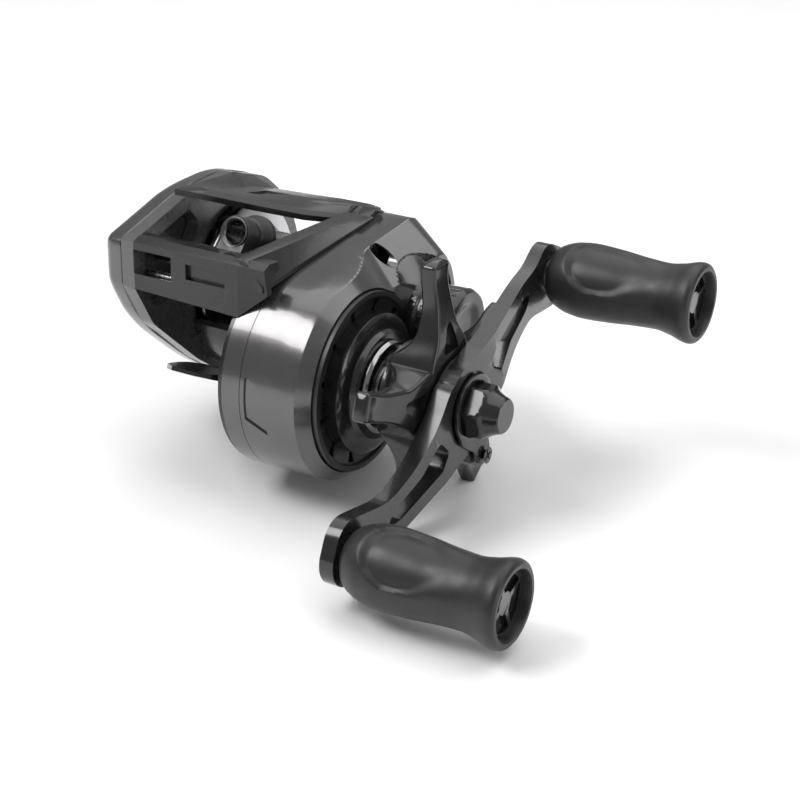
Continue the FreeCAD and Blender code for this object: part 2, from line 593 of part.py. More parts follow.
def line_guide():
    """Carriage on the worm sleeve with the line's eye above and a foot on the pillar."""
    half = 2.9
    block = prism([(-17.2, 14.2), (-10.0, 14.2), (-9.4, 19.0), (-10.4, 22.0), (-16.4, 22.0), (-17.4, 19.0)],
                  GUIDE_X - half, GUIDE_X + half, 0.8)
    foot = prism([(-18.3, 9.8), (-14.6, 9.8), (-12.6, 14.6), (-17.2, 14.6)], GUIDE_X - half + 0.6,
                 GUIDE_X + half - 0.6, 0.6)
    eye = Part.makeCylinder(3.4, 7.8, V(GUIDE_X, -16.6, EYE_Z), V(0, 1, 0))
    collar = Part.makeCone(3.6, 4.6, 3.0, V(GUIDE_X, -12.4, EYE_Z), V(0, 1, 0))
    rear = Part.makeCylinder(4.6, 1.2, V(GUIDE_X, -9.5, EYE_Z), V(0, 1, 0))
    whole = fused([block, foot, eye, collar, rear])
    whole = whole.cut(Part.makeCylinder(2.92, 20, V(GUIDE_X, -20, EYE_Z), V(0, 1, 0)))
    whole = whole.cut(rod(-50, 0, 2.6 + RUNNING, WORM)).cut(rod(-50, 0, 1.0 + RUNNING, PILLAR))
    whole = whole.cut(Part.makeCylinder(1.65, 6, V(GUIDE_X, WORM[0], WORM[1] - 11.15), V(0, 0, 1)))
    return whole.cut(Part.makeCylinder(0.75, 6, V(GUIDE_X, WORM[0], WORM[1] - 6), V(0, 0, 1)))


def guide_insert():
    """Hard ring that lines the eye, flared at both ends."""
    ring = Part.makeCylinder(2.9, 7.8, V(GUIDE_X, -16.6, EYE_Z), V(0, 1, 0))
    lip = Part.makeCylinder(3.1, 0.4, V(GUIDE_X, -17.0, EYE_Z), V(0, 1, 0))
    ring = fused([ring, lip]).cut(Part.makeCylinder(2.2, 12, V(GUIDE_X, -18, EYE_Z), V(0, 1, 0)))
    return ring.cut(Part.makeCone(2.8, 2.2, 0.6, V(GUIDE_X, -17.0, EYE_Z), V(0, 1, 0)))


def guide_pawl():
    pin = Part.makeCylinder(0.7, 3.0, V(GUIDE_X, WORM[0], WORM[1] - 5.2), V(0, 0, 1))
    cap = Part.makeCylinder(1.6, 0.5, V(GUIDE_X, WORM[0], WORM[1] - 5.2 - 0.5), V(0, 0, 1))
    clear = rod(-30, -24, 2.06, WORM)
    return fused([pin, cap]).cut(clear)


def worm_bushing():
    return tube(-46.3, -45.2, 2.1, 1.2, WORM)


# ---------------------------------------------------------------- drive shaft, drag and handle
def drive_shaft():
    shaft = turned([(-20.7, 0), (-20.7, SHAFT_R), (-19.6, SHAFT_R), (-19.6, 2.2), (-18.2, 2.2), (-18.2, 3.2),
                    (-16.6, 3.2), (-16.6, 6.0), (-15.4, 6.0), (-15.4, 3.0), (20.4, 3.0), (20.4, 2.7), (23.3, 2.7),
                    (23.3, 2.0), (30.0, 2.0), (30.0, 0)])
    for z in (-4.2, 2.3):
        flat = box(-9.0, 25.0, -5, 5, z, z + 1.9)
        shaft = shaft.cut(about_x(flat, HANDLE_ANGLE))
    return shaft


def drive_gear():
    disc = gear(MAIN_TEETH, MODULE, *MAIN_X, DRIVE, MAIN_TOOTH, 3.0 + RUNNING)
    disc = disc.cut(tube(-12.8, -10, 15.6, 0.5))
    for i in range(8):
        disc = disc.cut(rod(-15, -10, 1.5, polar(DRIVE, 12.6, 45 * i + 22.5)))
    return disc


def stack(first, count, step, thick, r_out):
    return group([tube(first + step * i, first + step * i + thick, r_out, 3.3) for i in range(count)])


def drag_washers():
    return stack(-12.75, 3, 1.2, 0.55, 10.8)


def drag_plates():
    return stack(-12.15, 2, 1.2, 0.5, 10.6)


def pressure_plate():
    return turned([(-9.75, 3.1), (-9.75, 10.6), (-9.0, 10.6), (-8.2, 6.0), (-6.6, 5.4), (-6.6, 3.1)])


def drag_sleeve():
    return tube(-6.5, 7.2, 4.0, 3.0 + RUNNING)


def spring_washers():
    def cup(x, flare):
        return turned([(x, 3.1), (x + flare, 5.2), (x + flare + 0.35, 5.2), (x + 0.35, 3.1)])
    return group([cup(7.3, 0.4), cup(8.3, -0.4)])


def star_drag():
    """Cup-shaped hub with five swept, windowed arms."""
    hub = turned([(9.0, 5.3), (9.0, 10.0), (9.4, 10.4), (15.0, 10.4), (17.4, 9.4), (20.2, 9.0), (20.2, 3.0 + RUNNING),
                  (13.2, 3.0 + RUNNING), (13.2, 5.3)])
    sweep = turned([(15.6, 8.0), (20.2, 8.0), (20.0, 12.0), (18.6, 20.0), (17.6, 26.0), (17.9, 30.0), (14.6, 30.0),
                    (14.2, 26.0), (14.6, 20.0), (15.2, 12.0)])
    arm_outline = [(4.0, -7.6), (11.0, -6.2), (17.0, -3.0), (24.0, -2.5), (28.2, -3.0), (28.8, 0.4), (27.8, 2.8),
                   (22.0, 3.2), (15.0, 4.6), (9.5, 7.8), (4.0, 8.0)]
    window_outline = [(10.6, -3.2), (17.0, -0.6), (16.6, 1.2), (11.0, 3.8)]
    arm = prism(arm_outline, 10, 24, [0, 4, 6, 8, 0.8, 2, 1.0, 6, 6, 4, 0])
    arm = arm.cut(prism(window_outline, 5, 30, 0.7))
    arms = [about_x(arm, STAR_PHASE + 360.0 * i / STAR_ARMS) for i in range(STAR_ARMS)]
    return fused([hub] + [piece.common(sweep) for piece in arms])


def star_nut():
    return tube(9.4, 13.1, 5.2, 3.0 + RUNNING)


def handle_arm():
    """Double-ended swept arm with a window in each side and a lug for the nut's keeper."""
    half_outline = [(0, 9.4), (8, 8.6), (18, 8.2), (28, 8.0), (36, 6.6), (42, 8.2), (50.2, 0), (42, -8.2),
                    (35.0, -4.6), (29, -1.4), (20, -1.8), (10, -6.0), (5, -9.0)]
    rounds = [6, 20, 40, 30, 12, 9, 9, 9, 12, 20, 25, 20, 8]
    window = [(9.6, 3.0), (13, 5.2), (27, 5.0), (31.5, 3.6), (28.0, 1.6), (19, 1.2), (12.0, -1.6)]
    halves = []
    for turn in (0, 180):
        plate = prism(half_outline + [(-4, -9.0), (-4, 9.0)], 17, 27, rounds + [1, 1])
        plate = plate.cut(prism(window, 10, 30, [1.5, 3, 3, 0.8, 4, 4, 1.5]))
        halves.append(about_x(plate, turn))
    plan = fused(halves + [rod(17, 27, 9.6)])
    rise = [(-52, 18.7), (-38, 18.7), (-28, 19.6), (-12, 20.6), (12, 20.6), (28, 19.6), (38, 18.7), (52, 18.7),
            (52, 21.6), (39, 21.6), (29, 22.6), (13, 24.3), (-13, 24.3), (-29, 22.6), (-39, 21.6), (-52, 21.6)]
    points = [V(x, s, -15) for s, x in rise]
    side = Part.Face(Part.makePolygon(points + points[:1])).extrude(V(0, 0, 30))
    arm = plan.common(side)
    lug = prism([(-3.4, -6), (3.4, -6), (3.0, -12.6), (1.6, -15.2), (-1.6, -15.2), (-3.0, -12.6)], 21.0, 23.9, 1.2)
    arm = fused([arm, lug]).cut(rod(23.4, 26, 7.4))
    bore = rod(15, 30, 2.75).common(box(15, 30, -5, 5, -2.35, 2.35))
    arm = arm.cut(bore).cut(rod(15, 30, 0.8, KEEPER_SCREW))
    for s in (KNOB_REACH, -KNOB_REACH):
        arm = arm.cut(rod(15, 30, 2.4, (s, 0)))
    return about_x(arm, HANDLE_ANGLE)


def handle_nut():
    """Domed nut with six flats."""
    body = turned([(23.5, 0), (23.5, 5.9), (24.4, 5.9), (25.0, 5.4), (28.4, 5.0), (29.0, 4.2), (31.6, 4.0), (32.0, 3.6),
                   (32.0, 0)])
    hexagon = prism([polar(DRIVE, 5.7, 60 * i) for i in range(6)], 24.4, 28.6)
    body = fused([body.common(rod(20, 24.4, 9)), body.common(hexagon), body.common(rod(28.6, 40, 9))])
    return body.cut(rod(22, 30.4, 2.0 + RUNNING))


def nut_retainer():
    """Keeper that fits over the nut's flats and takes a small screw."""
    plate = prism([(-6.6, 3.0), (6.6, 3.0), (6.6, -4.0), (2.6, -9.8), (2.2, -14.2), (-2.2, -14.2), (-2.6, -9.8),
                   (-6.6, -4.0)], 24.45, 25.3, [4, 4, 4, 3, 1.8, 1.8, 3, 4])
    plate = fused([plate, tube(24.45, 25.3, 7.0, 3)]).cut(rod(20, 30, 5.75)).cut(rod(20, 30, 0.85, KEEPER_SCREW))
    return about_x(plate, HANDLE_ANGLE)


def retainer_screw():
    return about_x(screw(26.1, 21.4, KEEPER_SCREW, 1.7, 0.75, 0.8), HANDLE_ANGLE)


def knob_posts():
    """Headed posts riveted into the arm's ends, with a tapped tip."""
    posts = []
    for s in (KNOB_REACH, -KNOB_REACH):
        post = turned([(18.0, 0), (18.0, 3.3), (18.7, 3.3), (18.7, 2.35), (21.6, 2.35), (21.6, 3.4), (22.1, 3.4),
                       (22.1, 2.0), (48.0, 2.0), (48.0, 0)], (s, 0))
        posts.append(about_x(post.cut(rod(43, 49, 1.0, (s, 0))), HANDLE_ANGLE))
    return group(posts)


def knob_screws():
    screws = []
    for s in (KNOB_REACH, -KNOB_REACH):
        bolt = fused([rod(48.1, 49.3, 2.6, (s, 0)), rod(43.2, 48.2, 0.95, (s, 0))])
        bolt = bolt.cut(box(48.8, 50, s - 2, s + 2, -0.3, 0.3))
        screws.append(about_x(bolt, HANDLE_ANGLE))
    return group(screws)


KNOB_PROFILE = [(22.4, 0), (22.4, 5.6), (22.9, 7.2), (24.6, 7.9), (28.0, 7.6), (33.0, 6.9), (38.0, 6.9), (44.0, 7.2),
                (49.0, 7.6), (53.0, 8.28), (54.4, 8.2), (55.0, 7.5), (55.0, 0)]


def knob(s):
    """Paddle-shaped grip with thumb scallops, hollow for its post and bearings."""
    grip = turned(KNOB_PROFILE, (s, 0))
    for turn in range(4):
        bar = Part.makeCylinder(34.0, 30, V(36.0, s + 34.0 + 6.5, -15), V(0, 0, 1))
        grip = grip.cut(about_x(bar, 90 * turn, (s, 0)))
    grip = grip.cut(rod(51.1, 60, 6.4, (s, 0))).cut(rod(20, 50, 2.4, (s, 0))).cut(rod(47.6, 60, 4.4, (s, 0)))
    grip = grip.cut(rod(20, 25.4, 4.0, (s, 0))).cut(rod(44.6, 60, 4.0, (s, 0)))
    return about_x(grip, HANDLE_ANGLE)


def knob_cap(s):
    """Recessed end cap with spokes."""
    cap = rod(51.2, 53.2, 6.35, (s, 0)).cut(rod(52.4, 54, 5.5, (s, 0)))
    ribs = [box(52.2, 53.2, s - 5.6, s + 5.6, -0.5, 0.5), box(52.2, 53.2, s - 0.5, s + 0.5, -5.6, 5.6)]
    cap = fused([cap, rod(52.2, 53.2, 2.2, (s, 0))] + ribs).cut(rod(51, 52.8, 0.2, (s, 0)))
    return about_x(cap.common(rod(50, 54, 6.35, (s, 0))), HANDLE_ANGLE)


def knob_bearings(s):
    pair = [bearing(22.5, 25.2, 2.0 + RUNNING, 4.0, (s, 0)), bearing(44.8, 47.5, 2.0 + RUNNING, 4.0, (s, 0))]
    return about_x(group(pair), HANDLE_ANGLE)


# ---------------------------------------------------------------- palm side
def palm_plate():
    """Domed side plate, hollow for the cast brake."""
    rim = palm_wall(-50.4, PALM_SEAM)
    wires = []
    for x, factor in ((-50.4, 1.0), (-53.6, 0.9), (PALM_FACE, 0.66)):
        face = rounded_face(shrunk(PALM_OUTLINE, factor), PALM_ROUND)
        face.translate(V(x, 0, 0))
        wires.append(face.OuterWire)
    dome = Part.makeLoft(wires, True, True)
    plate = fused([rim, dome])
    plate = plate.cut(rod(-54.2, -40, 13.6, SPOOL)).cut(rod(-60, -54.95, 8.6, SPOOL))
    return fused([plate, tube(-54.3, -49.2, 5.0, 4.0, SPOOL)])


def spool_bearing_palm():
    return bearing(-53.2, -50.0, SHAFT_R - RUNNING + 0.03, 4.0, SPOOL)


def brake_dial():
    dial = turned([(-56.6, 0), (-56.6, 7.6), (-56.2, 8.1), (-55.0, 8.1), (-55.0, 0)], SPOOL)
    for i in range(20):
        dial = dial.cut(rod(-56.0, -54.5, 0.45, polar(SPOOL, 8.2, 18 * i)))
    grip = box(-57.6, -56.5, SPOOL[0] - 1.0, SPOOL[0] + 1.0, SPOOL[1] - 6.2, SPOOL[1] + 6.2)
    return fused([dial, grip])


def magnet_ring():
    return tube(-52.6, -51.6, 12.6, 6.0, SPOOL)


def brake_magnets():
    return group([rod(-51.6, -49.4, 1.2, polar(SPOOL, 10.2, 45 * i)) for i in range(8)])


NODES = {
    "frame": frame, "hood": hood, "reel_foot": reel_foot, "foot_screws": foot_screws,
    "gear_side_plate": gear_side_plate, "gear_side_cover": gear_side_cover, "cover_screws": cover_screws,
    "cover_ring": cover_ring, "hub_boss": hub_boss, "anti_reverse_bearing": anti_reverse_bearing,
    "seal_ring": seal_ring, "worm_tube": worm_tube, "guide_pillar": guide_pillar, "worm_bushing": worm_bushing,
    "drive_shaft_bearing": lambda: bearing(*RIGHT_WALL, SHAFT_R + RUNNING, 3.5, DRIVE),
    "pinion_bearing": lambda: bearing(*PLATE_FLOOR, SHAFT_R + 1.0, 6.0, SPOOL),
    "spool_bearing_gear_side": lambda: bearing(4.5, 7.5, SHAFT_R, 4.0, SPOOL),
    "tension_knob": tension_knob, "tension_washer": tension_washer,
    "spool": spool, "spool_shaft": spool_shaft, "shaft_pin": shaft_pin, "brake_rotor": brake_rotor,
    "pinion": pinion, "yoke": yoke, "thumb_bar": thumb_bar, "clutch_cam": clutch_cam,
    "worm_shaft": worm_shaft, "worm_gear": worm_gear, "idler_gear": idler_gear,
    "line_guide": line_guide, "guide_insert": guide_insert, "guide_pawl": guide_pawl,
    "drive_shaft": drive_shaft, "drive_gear": drive_gear, "level_wind_cog": level_wind_cog,
    "drag_washers": drag_washers, "drag_plates": drag_plates, "pressure_plate": pressure_plate,
    "drag_sleeve": drag_sleeve, "spring_washers": spring_washers,
    "star_drag": star_drag, "star_nut": star_nut,
    "handle_arm": handle_arm, "handle_nut": handle_nut, "nut_retainer": nut_retainer,
    "retainer_screw": retainer_screw, "knob_posts": knob_posts, "knob_screws": knob_screws,
    "far_knob": lambda: knob(KNOB_REACH), "far_knob_cap": lambda: knob_cap(KNOB_REACH),
    "far_knob_bearings": lambda: knob_bearings(KNOB_REACH),
    "near_knob": lambda: knob(-KNOB_REACH), "near_knob_cap": lambda: knob_cap(-KNOB_REACH),
    "near_knob_bearings": lambda: knob_bearings(-KNOB_REACH),
    "palm_plate": palm_plate, "spool_bearing_palm_side": spool_bearing_palm, "brake_dial": brake_dial,
    "magnet_ring": magnet_ring, "brake_magnets": brake_magnets,
}

shapes = {}
for name, make in NODES.items():
    shape = make()
    shape.rotate(V(0, 0, 0), X_AXIS, -REST_PITCH)
    shapes[name] = shape

bounds = Part.makeCompound(list(shapes.values())).optimalBoundingBox(False, False)
shift = V(-bounds.Center.x, -bounds.Center.y, -bounds.ZMin)

for name, shape in shapes.items():
    shape.translate(shift)
    shape.exportStep(f"parts/{name}.step")
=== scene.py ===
import json
from math import cos, pi, radians, sin, sqrt

import bmesh
import bpy
from mathutils import Matrix, Vector

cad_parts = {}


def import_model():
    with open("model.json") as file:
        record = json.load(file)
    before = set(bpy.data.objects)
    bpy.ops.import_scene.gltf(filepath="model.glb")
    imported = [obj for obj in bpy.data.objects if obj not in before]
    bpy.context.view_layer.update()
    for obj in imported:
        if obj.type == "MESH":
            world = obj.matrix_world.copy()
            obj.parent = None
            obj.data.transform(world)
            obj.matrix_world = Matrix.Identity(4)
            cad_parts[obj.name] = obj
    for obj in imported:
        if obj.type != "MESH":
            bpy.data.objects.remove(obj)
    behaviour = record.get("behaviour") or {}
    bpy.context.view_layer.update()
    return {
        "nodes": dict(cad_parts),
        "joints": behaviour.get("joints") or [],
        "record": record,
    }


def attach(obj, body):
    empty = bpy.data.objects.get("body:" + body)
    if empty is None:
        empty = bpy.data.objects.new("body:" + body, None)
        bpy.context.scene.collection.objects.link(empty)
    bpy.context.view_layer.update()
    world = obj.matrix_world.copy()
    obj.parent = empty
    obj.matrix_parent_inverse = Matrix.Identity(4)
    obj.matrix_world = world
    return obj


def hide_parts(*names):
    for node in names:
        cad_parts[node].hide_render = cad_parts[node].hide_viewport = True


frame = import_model()
NODES = frame["nodes"]
JOINTS = {joint["name"]: joint for joint in frame["joints"]}

# ---- the frame's own places ----
# The design frame has its foot level and its origin on the drive axis; the reel rests pitched nose-up.
MM = 0.001
PITCH = radians(26.0)
ORIGIN = Vector(JOINTS["crank_spin"]["pos_m"])
UPRIGHT = Matrix.Rotation(-PITCH, 4, "X")
DESIGN = Matrix.Translation(ORIGIN) @ UPRIGHT @ Matrix.Scale(MM, 4)
HANDLE_ANGLE = radians(45.8)
KNOB_REACH = 42.0


# ---------------------------------------------------------------- node helpers
def shader(name):
    """A material's node tree, its principled shader and coordinates that ride with the object."""
    made = bpy.data.materials.new(name)
    made.use_nodes = True
    tree = made.node_tree
    base = tree.nodes["Principled BSDF"]
    place = tree.nodes.new("ShaderNodeTexCoord")
    return made, tree, base, place.outputs["Object"]


def noise(tree, place, scale, detail=3.0, stretch=None):
    if stretch:
        mapping = tree.nodes.new("ShaderNodeMapping")
        mapping.inputs["Scale"].default_value = stretch
        tree.links.new(place, mapping.inputs["Vector"])
        place = mapping.outputs["Vector"]
    node = tree.nodes.new("ShaderNodeTexNoise")
    node.inputs["Scale"].default_value = scale
    node.inputs["Detail"].default_value = detail
    tree.links.new(place, node.inputs["Vector"])
    return node.outputs["Fac"]


def ramp(tree, factor, stops):
    node = tree.nodes.new("ShaderNodeValToRGB")
    elements = node.color_ramp.elements
    while len(elements) < len(stops):
        elements.new(0.5)
    for element, (at, value) in zip(elements, stops):
        element.position = at
        colour = value if isinstance(value, tuple) else (value, value, value)
        element.color = (*colour, 1)
    tree.links.new(factor, node.inputs["Fac"])
    return node.outputs["Color"]


def bump(tree, height, base, strength, depth):
    node = tree.nodes.new("ShaderNodeBump")
    node.inputs["Strength"].default_value = strength
    node.inputs["Distance"].default_value = depth
    tree.links.new(height, node.inputs["Height"])
    tree.links.new(node.outputs["Normal"], base.inputs["Normal"])


def set_constants(base, **values):
    for name, value in values.items():
        base.inputs[name.replace("_", " ")].default_value = value


def finish_surface(name, tones, rough, grain, grain_strength, cloud=60.0, stretch=None, **constants):
    """A finish with cloudy tone, uneven gloss and fine grain; sizes are in waves per metre."""
    made, tree, base, place = shader(name)
    cloudy = noise(tree, place, cloud, 4.0)
    tree.links.new(ramp(tree, cloudy, [(0.3, tones[0]), (0.7, tones[1])]), base.inputs["Base Color"])
    gloss = noise(tree, place, cloud * 6, 5.0, stretch)
    tree.links.new(ramp(tree, gloss, [(0.3, rough[0]), (0.7, rough[1])]), base.inputs["Roughness"])
    bump(tree, noise(tree, place, grain, 2.0, stretch), base, grain_strength, 0.00002)
    set_constants(base, **constants)
    return made


# ---------------------------------------------------------------- materials
def grey(value, warm=1.0):
    return (value * warm, value, value * 1.01)


MATERIALS = {
    "frame": finish_surface("satin_black_frame", (grey(0.017), grey(0.025)), (0.24, 0.33), 9000, 0.25,
                            Metallic=0.45, Coat_Weight=0.35, Coat_Roughness=0.14),
    "cover": finish_surface("graphite_lacquer", (grey(0.100, 1.03), grey(0.118, 1.03)), (0.20, 0.25), 14000,
                            0.05, Metallic=0.75, Coat_Weight=0.6, Coat_Roughness=0.08),
    "black": finish_surface("satin_black_alloy", (grey(0.020), grey(0.028)), (0.20, 0.28), 12000, 0.10,
                            Metallic=0.5, Coat_Weight=0.5, Coat_Roughness=0.10),
    "grip": finish_surface("soft_grip", (grey(0.010), grey(0.015)), (0.38, 0.48), 7000, 0.30,
                           Coat_Weight=0.0, Sheen_Weight=0.05, Sheen_Roughness=0.5),
    "cap": finish_surface("gloss_black_cap", (grey(0.010), grey(0.016)), (0.12, 0.20), 9000, 0.08,
                          Coat_Weight=0.6, Coat_Roughness=0.06),
    "foot": finish_surface("dark_gloss_foot", (grey(0.022), grey(0.032)), (0.16, 0.25), 8000, 0.12,
                           Metallic=0.5, Coat_Weight=0.5, Coat_Roughness=0.08),
    "silver": finish_surface("spool_silver", (grey(0.50), grey(0.60)), (0.18, 0.28), 6000, 0.2,
                             stretch=(8.0, 1.0, 1.0), Metallic=1.0),
    "steel": finish_surface("ground_steel", (grey(0.40), grey(0.50)), (0.20, 0.32), 9000, 0.2,
                            stretch=(8.0, 1.0, 1.0), Metallic=1.0),
    "chrome": finish_surface("bright_chrome", (grey(0.30), grey(0.38)), (0.14, 0.22), 5000, 0.05,
                             Metallic=1.0),
    "brass": finish_surface("gear_brass", ((0.45, 0.30, 0.11), (0.56, 0.40, 0.17)), (0.25, 0.38), 9000, 0.2,
                            Metallic=1.0),
    "dark_plastic": finish_surface("moulded_black", (grey(0.012), grey(0.018)), (0.35, 0.48), 8000, 0.3),
    "cog_plastic": finish_surface("white_acetal", (grey(0.52), grey(0.60)), (0.35, 0.45), 7000, 0.15),
    "carbon": finish_surface("woven_carbon", (grey(0.010), grey(0.045)), (0.30, 0.60), 3000, 0.5,
                             cloud=1400.0),
    "magnet": finish_surface("nickel_magnet", (grey(0.42), grey(0.50)), (0.15, 0.25), 6000, 0.1,
                             Metallic=1.0),
}


# ---------------------------------------------------------------- CAD nodes: softened edges
def node_group(name, build):
    group = bpy.data.node_groups.new(name, "GeometryNodeTree")
    group.interface.new_socket("Geometry", in_out="INPUT", socket_type="NodeSocketGeometry")
    group.interface.new_socket("Geometry", in_out="OUTPUT", socket_type="NodeSocketGeometry")
    entry = group.nodes.new("NodeGroupInput")
    leave = group.nodes.new("NodeGroupOutput")
    group.links.new(build(group, entry.outputs["Geometry"]), leave.inputs["Geometry"])
    return group


def weld_steps(group, geometry):
    """Joins the faces along their shared edges and shades them smooth."""
    forget = group.nodes.new("GeometryNodeRemoveAttribute")
    forget.inputs["Name"].default_value = "custom_normal"
    weld = group.nodes.new("GeometryNodeMergeByDistance")
    weld.inputs["Distance"].default_value = 2e-6
    smooth = group.nodes.new("GeometryNodeSetShadeSmooth")
    group.links.new(geometry, forget.inputs["Geometry"])
    group.links.new(forget.outputs["Geometry"], weld.inputs["Geometry"])
    group.links.new(weld.outputs["Geometry"], smooth.inputs["Geometry"])
    return smooth.outputs["Geometry"]


WELD = node_group("weld_faces", weld_steps)
EDGE = {"frame": 0.28, "hood": 0.25, "gear_side_cover": 0.3, "gear_side_plate": 0.2, "palm_plate": 0.25,
        "star_drag": 0.3, "handle_arm": 0.35, "reel_foot": 0.25, "cover_ring": 0.16, "hub_boss": 0.2,
        "tension_knob": 0.12, "line_guide": 0.2, "handle_nut": 0.2, "spool": 0.15}
PLAIN_EDGE = 0.08


def soften(node, width):
    weld = node.modifiers.new("weld", "NODES")
    weld.node_group = WELD
    bevel = node.modifiers.new("edge", "BEVEL")
    bevel.width = width * MM
    bevel.segments = 2
    bevel.limit_method = "ANGLE"
    bevel.angle_limit = radians(28)
    normals = node.modifiers.new("normals", "WEIGHTED_NORMAL")
    normals.weight = 80


def lighten_palm_wall(material, edge, tone):
    """Lacquers the frame's palm-side wall like the side plates, up to edge along X in metres."""
    tree = material.node_tree
    base = tree.nodes["Principled BSDF"]
    black = base.inputs["Base Color"].links[0].from_socket
    place = tree.nodes.new("ShaderNodeTexCoord")
    parts = tree.nodes.new("ShaderNodeSeparateXYZ")
    side = tree.nodes.new("ShaderNodeMath")
    side.operation = "LESS_THAN"
    side.inputs[1].default_value = edge
    mix = tree.nodes.new("ShaderNodeMix")
    mix.data_type = "RGBA"
    tree.links.new(place.outputs["Object"], parts.inputs["Vector"])
    tree.links.new(parts.outputs["X"], side.inputs[0])
    tree.links.new(side.outputs["Value"], mix.inputs["Factor"])
    colours = [socket for socket in mix.inputs if socket.type == "RGBA"]
    colours[1].default_value = (*grey(tone), 1)
    tree.links.new(black, colours[0])
    tree.links.new([socket for socket in mix.outputs if socket.type == "RGBA"][0], base.inputs["Base Color"])


PALM_WALL_X, PALM_WALL_TONE = -44.9, 0.11
lighten_palm_wall(MATERIALS["frame"], ORIGIN.x + PALM_WALL_X * MM, PALM_WALL_TONE)
SLOT_OF = {part["node"]: part["material_slot"] for part in frame["record"]["subparts"]}
for name, node in NODES.items():
    node.data.materials.clear()
    node.data.materials.append(MATERIALS[SLOT_OF[name]])
    soften(node, EDGE.get(name, PLAIN_EDGE))
NODES["guide_insert"].data.materials[0] = finish_surface(
    "guide_ring", (grey(0.10), grey(0.14)), (0.22, 0.32), 6000, 0.1, Metallic=1.0)


# ---------------------------------------------------------------- new pieces
def piece(name, mesh, slot, body, *nodes):
    made = bpy.data.objects.new(name, mesh)
    bpy.context.scene.collection.objects.link(made)
    mesh.materials.append(MATERIALS[slot])
    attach(made, body)
    if nodes:
        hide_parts(*nodes)
    return made


def stitch(work, rings, looped=False):
    """Joins each ring of points to the next, and the last to the first if looped; their counts match."""
    rows = [[work.verts.new(point) for point in points] for points in rings]
    count = len(rows[0])
    followers = rows[1:] + rows[:1] if looped else rows[1:]
    for row, following in zip(rows, followers):
        for i in range(count):
            j = (i + 1) % count
            work.faces.new((row[i], row[j], following[j], following[i]))
    return rows


def finished_mesh(name, work):
    bmesh.ops.recalc_face_normals(work, faces=work.faces)
    mesh = bpy.data.meshes.new(name)
    work.to_mesh(mesh)
    work.free()
    return mesh


def rings_mesh(name, rings):
    """A skin over rings of points, with a flat face at each end."""
    work = bmesh.new()
    rows = stitch(work, rings)
    work.faces.new(rows[0][::-1])
    work.faces.new(rows[-1])
    mesh = finished_mesh(name, work)
    mesh.shade_smooth()
    return mesh


def smooth_step(x, low, high):
    t = min(1.0, max(0.0, (x - low) / (high - low)))
    return t * t * (3 - 2 * t)


def between(x, stops):
    """Value at x on a smooth curve through (x, value) stops that does not overshoot them."""
    slopes = [(v1 - v0) / (x1 - x0) for (x0, v0), (x1, v1) in zip(stops, stops[1:])]
    bends = [2 * a * b / (a + b) if a * b > 0 else 0.0 for a, b in zip(slopes, slopes[1:])]
    bends = [slopes[0]] + bends + [slopes[-1]]
    for i in range(len(slopes)):
        (x0, v0), (x1, v1) = stops[i], stops[i + 1]
        if x <= x1 or i == len(slopes) - 1:
            span = x1 - x0
            t = min(1.0, max(0.0, (x - x0) / span))
            start, end = bends[i] * span, bends[i + 1] * span
            rise = v1 - v0
            return v0 + t * (start + t * (3 * rise - 2 * start - end + t * (start + end - 2 * rise)))


def ring(centre, x, radius_at, count):
    """Ring of points round an axis along X, in the design frame; radius_at takes an angle."""
    points = []
    for i in range(count):
        angle = 2 * pi * i / count
        r = radius_at(angle)
        points.append(DESIGN @ Vector((x, centre[0] + r * cos(angle), centre[1] + r * sin(angle))))
    return points


def split_by_angle(group, geometry):
    """Shades smooth, with a hard edge wherever two faces meet at more than about 35 degrees."""
    smooth = group.nodes.new("GeometryNodeSetShadeSmooth")
    angle = group.nodes.new("GeometryNodeInputMeshEdgeAngle")
    sharp = group.nodes.new("FunctionNodeCompare")
    sharp.operation = "GREATER_THAN"
    sharp.inputs[1].default_value = radians(35)
    split = group.nodes.new("GeometryNodeSetShadeSmooth")
    split.domain = "EDGE"
    split.inputs["Shade Smooth"].default_value = False
    group.links.new(geometry, smooth.inputs["Geometry"])
    group.links.new(smooth.outputs["Geometry"], split.inputs["Geometry"])
    group.links.new(angle.outputs["Unsigned Angle"], sharp.inputs[0])
    group.links.new(sharp.outputs["Result"], split.inputs["Selection"])
    return split.outputs["Geometry"]


CREASES = node_group("hard_edges", split_by_angle)


# ---------------------------------------------------------------- carving and turned forms
def loop_mesh(name, rings):
    """A closed skin whose last ring joins its first one."""
    work = bmesh.new()
    stitch(work, rings, looped=True)
    return finished_mesh(name, work)


def turned(name, centre, profile, count=72):
    """Closed ring from (x, r) points turned about an axis along X."""
    return loop_mesh(name, [ring(centre, x, lambda angle: r, count) for x, r in profile])


def rod(name, centre, *steps, count=48):
    """Solid rod along X that changes radius at each (x, r) step."""
    return rings_mesh(name, [ring(centre, x, lambda angle: r, count) for x, r in steps])


def carve(made, *cutters):
    """Takes the cutter meshes out of a piece for good."""
    tools = []
    for mesh in cutters:
        tool = bpy.data.objects.new("cutter", mesh)
        bpy.context.scene.collection.objects.link(tool)
        tools.append(tool)
        cut = made.modifiers.new("cut", "BOOLEAN")
        cut.operation = "DIFFERENCE"
        cut.solver = "EXACT"
        cut.object = tool
    bpy.context.view_layer.update()
    ready = made.evaluated_get(bpy.context.evaluated_depsgraph_get())
    mesh = bpy.data.meshes.new_from_object(ready)
    made.modifiers.clear()
    made.data = mesh
    for tool in tools:
        bpy.data.objects.remove(tool)


def add_island(made, mesh):
    """Joins another closed mesh into a piece."""
    work = bmesh.new()
    work.from_mesh(made.data)
    work.from_mesh(mesh)
    work.to_mesh(made.data)
    work.free()


def crease(made):
    made.modifiers.new("creases", "NODES").node_group = CREASES


